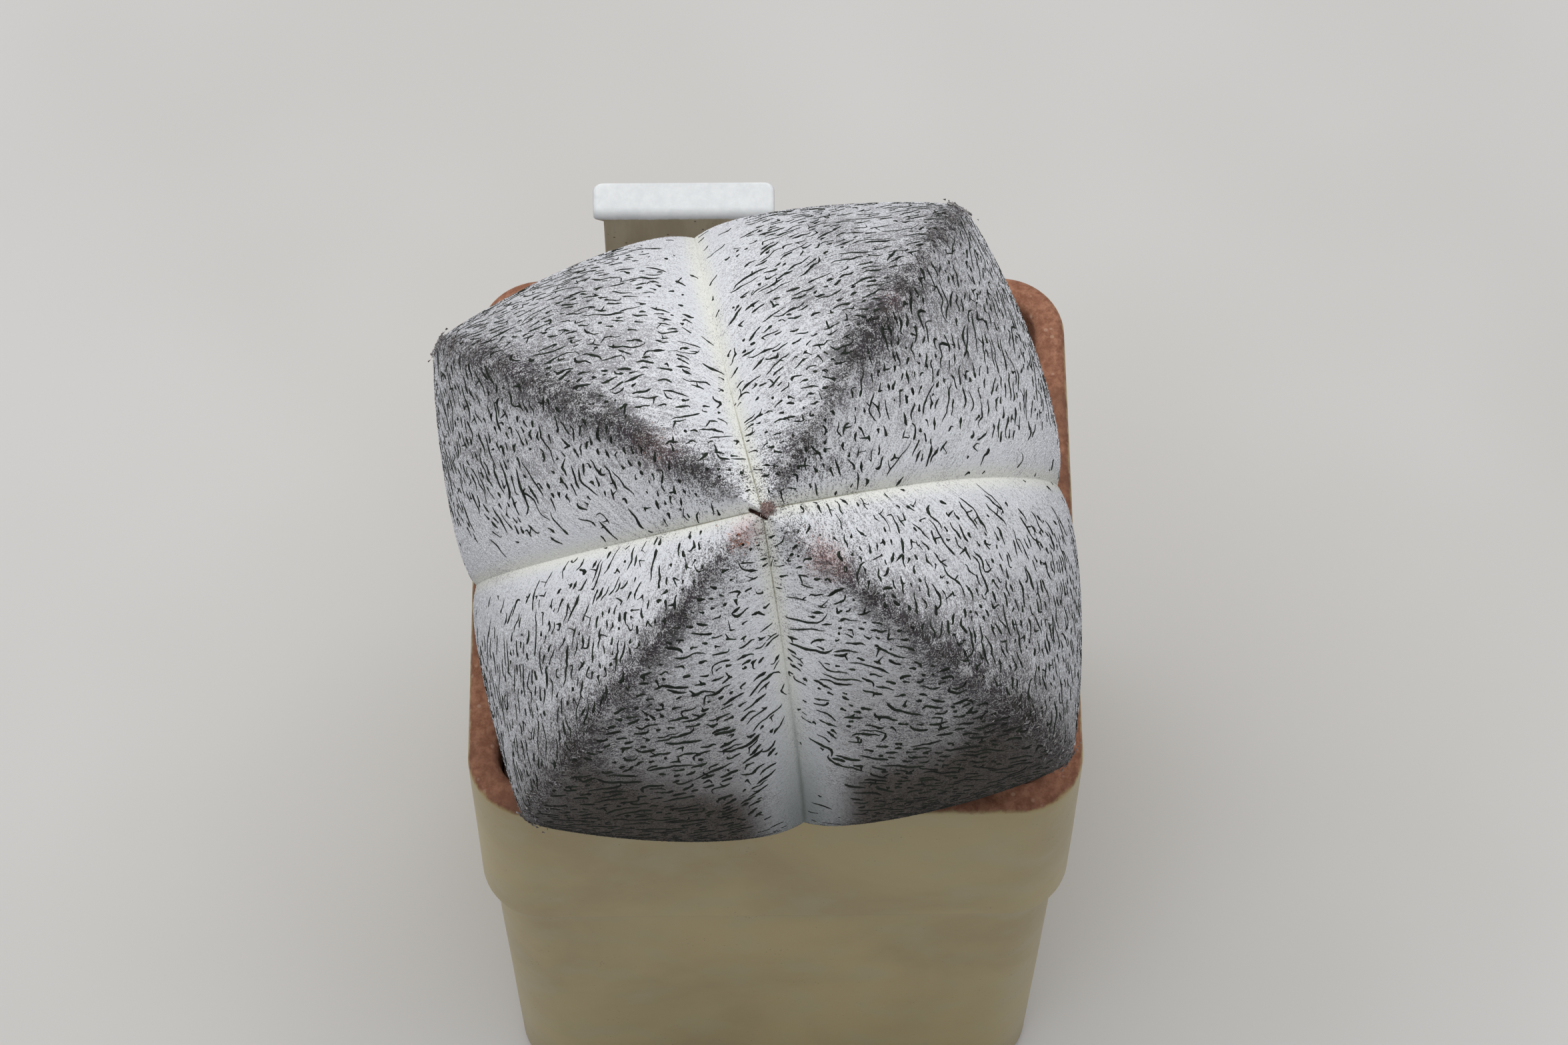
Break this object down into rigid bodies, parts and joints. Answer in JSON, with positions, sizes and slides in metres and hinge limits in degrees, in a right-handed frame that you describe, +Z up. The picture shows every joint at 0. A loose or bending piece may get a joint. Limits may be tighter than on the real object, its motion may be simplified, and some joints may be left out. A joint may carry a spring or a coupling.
{
  "type": "potted bishops cap cactus",
  "caption": "Ribbed felt-covered bishop's cap cactus leaning out of a square glazed clay pot, in gritty soil, with a plain plant label standing behind it.",
  "frame": {"origin": "middle of the pot's flat base", "axes": "+Z up, -Y towards the pot's front, over which the plant leans, +X to the right seen from the front"},
  "size_m": [0.0722, 0.0832, 0.1518],
  "materials": {
    "pot_glaze": "satin",
    "potting_grit": "matte",
    "cactus_felt": "matte",
    "label_plate": "satin"
  },
  "bodies": {
    "root": {"pot": "pot_glaze", "soil": "potting_grit", "cactus_body": "cactus_felt", "plant_label": "label_plate"}
  },
  "joints": []
}
